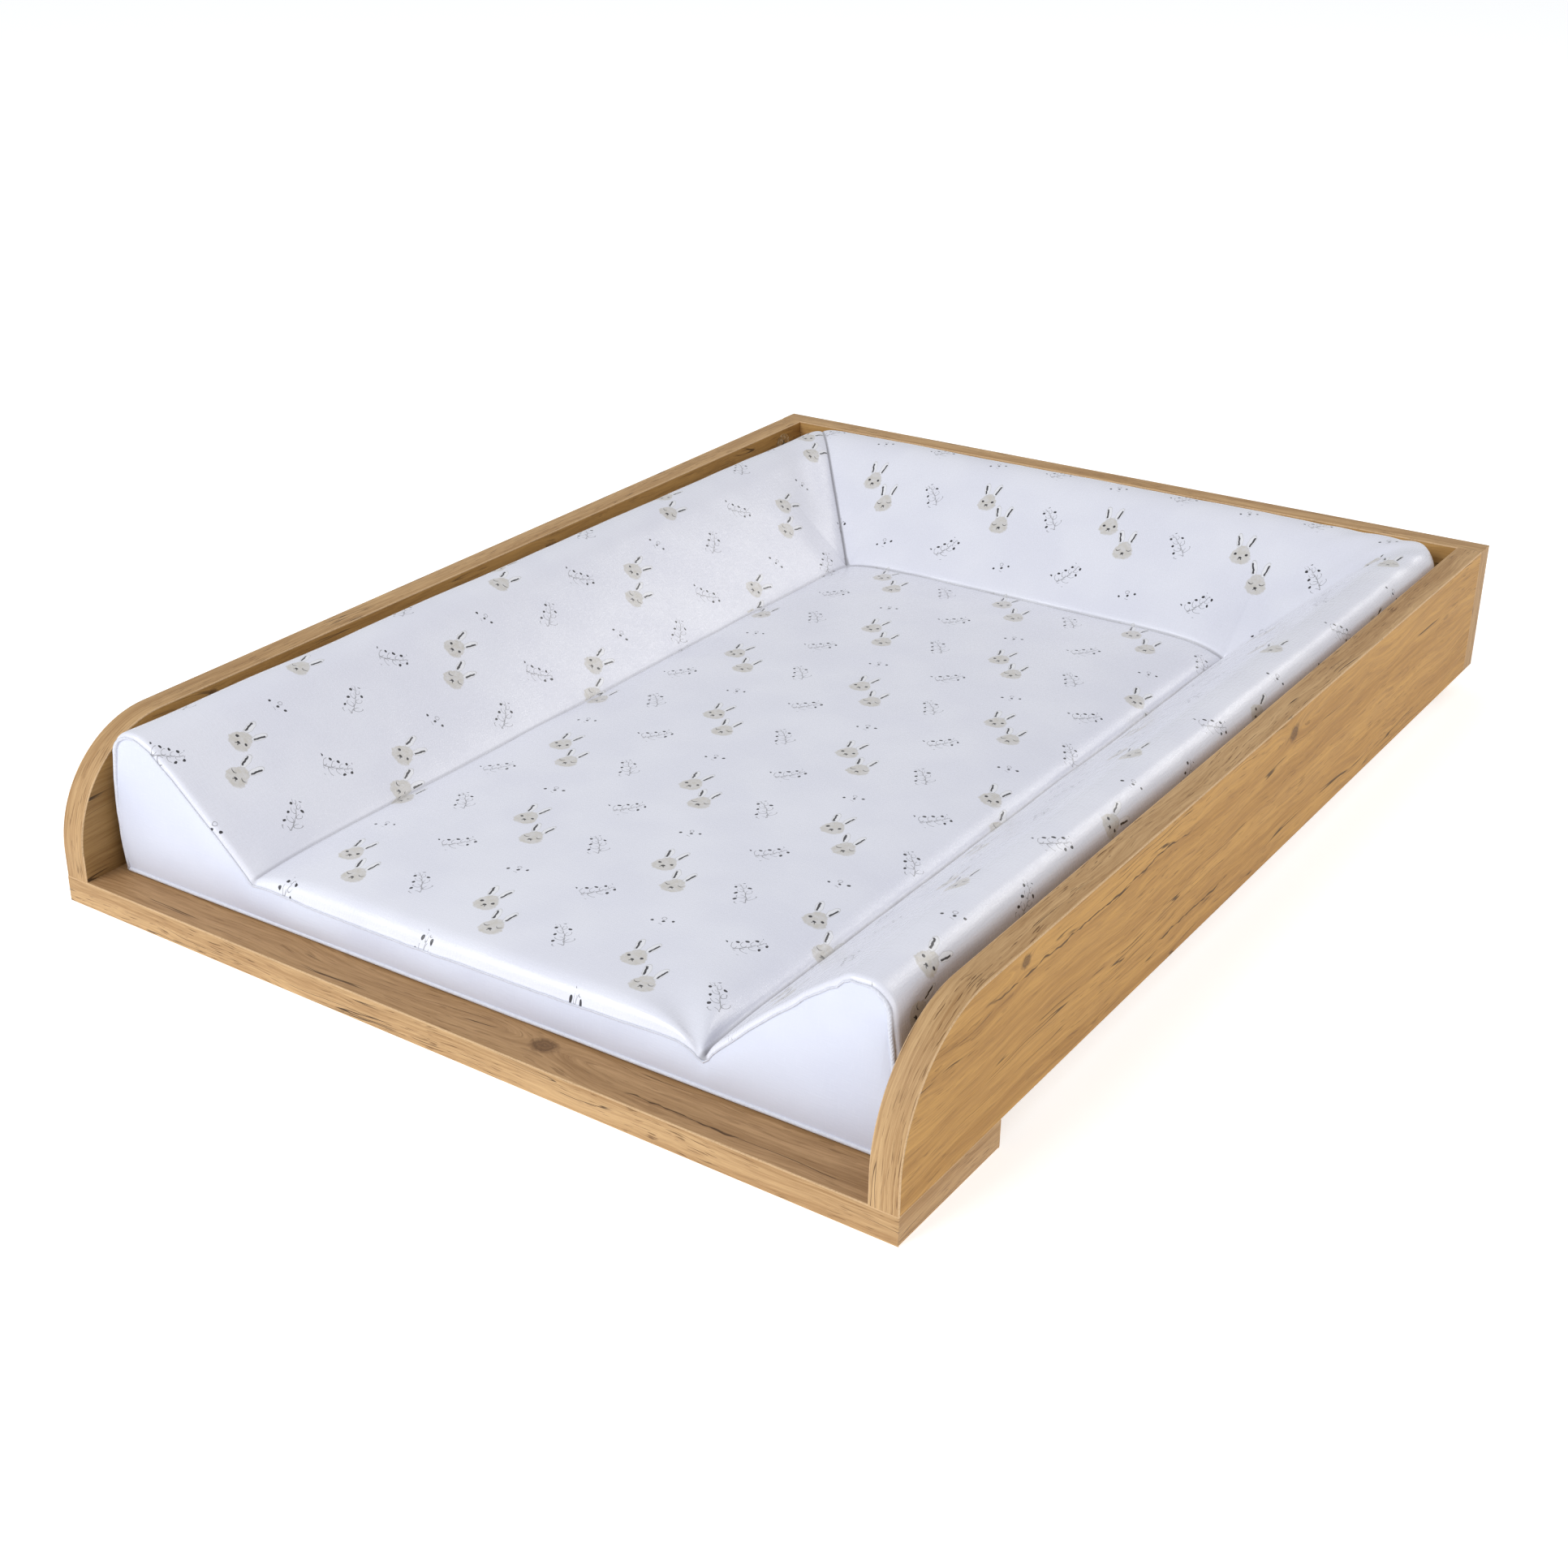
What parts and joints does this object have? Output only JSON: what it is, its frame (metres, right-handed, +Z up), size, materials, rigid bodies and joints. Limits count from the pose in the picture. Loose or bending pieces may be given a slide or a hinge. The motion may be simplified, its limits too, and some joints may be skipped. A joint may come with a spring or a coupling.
{
  "type": "changing pad",
  "caption": "Wedge-sided changing pad lying in a low wooden changing-top tray with an open front and a ledge that hangs in front of the furniture.",
  "frame": {"origin": "centre of the footprint, on the underside of the front board", "axes": "+Z up, -Y towards the open front, +Y towards the back panel, +X to the right seen from the front"},
  "size_m": [0.544, 0.748, 0.105],
  "materials": {
    "decor_board": "satin",
    "edge_band": "satin",
    "beech": "matte",
    "zinc": "polished",
    "steel": "satin",
    "printed_fabric": "satin",
    "plain_fabric": "satin",
    "welt": "satin",
    "foam": "matte"
  },
  "bodies": {
    "tray": {"back_band_left": "edge_band", "back_band_right": "edge_band", "back_band_top": "edge_band", "back_panel": "decor_board", "cam_bolts": "steel", "connecting_screws": "steel", "front_board": "decor_board", "front_board_front_band": "edge_band", "front_board_left_band": "edge_band", "front_board_rear_band": "edge_band", "front_board_right_band": "edge_band", "side_band_left": "edge_band", "side_band_right": "edge_band", "side_panel_left": "decor_board", "side_panel_right": "decor_board", "wooden_dowels": "beech"},
    "pad": {"foam_base_slab": "foam", "foam_wedge_back": "foam", "foam_wedge_left": "foam", "foam_wedge_right": "foam", "pad_base_sheet": "plain_fabric", "pad_base_welt": "welt", "pad_front_panel": "plain_fabric", "pad_front_welt": "welt", "pad_rear_panel": "plain_fabric", "pad_rear_welt": "welt", "pad_top_sheet": "printed_fabric"},
    "cam_left_lower": {"cam_left_lower": "zinc"},
    "cam_left_upper": {"cam_left_upper": "zinc"},
    "cam_right_lower": {"cam_right_lower": "zinc"},
    "cam_right_upper": {"cam_right_upper": "zinc"}
  },
  "joints": [
    {"name": "pad_lift", "type": "slide", "parent": "tray", "child": "pad", "axis": [0, 0, 1], "range_m": [0, 0.12]},
    {"name": "cam_left_lower_turn", "type": "hinge", "parent": "tray", "child": "cam_left_lower", "pos_m": [-0.256, 0.334, 0.028], "axis": [1, 0, 0], "range_deg": [0, 190]},
    {"name": "cam_left_upper_turn", "type": "hinge", "parent": "tray", "child": "cam_left_upper", "pos_m": [-0.256, 0.334, 0.088], "axis": [1, 0, 0], "range_deg": [0, 190]},
    {"name": "cam_right_lower_turn", "type": "hinge", "parent": "tray", "child": "cam_right_lower", "pos_m": [0.256, 0.334, 0.028], "axis": [-1, 0, 0], "range_deg": [0, 190]},
    {"name": "cam_right_upper_turn", "type": "hinge", "parent": "tray", "child": "cam_right_upper", "pos_m": [0.256, 0.334, 0.088], "axis": [-1, 0, 0], "range_deg": [0, 190]}
  ]
}
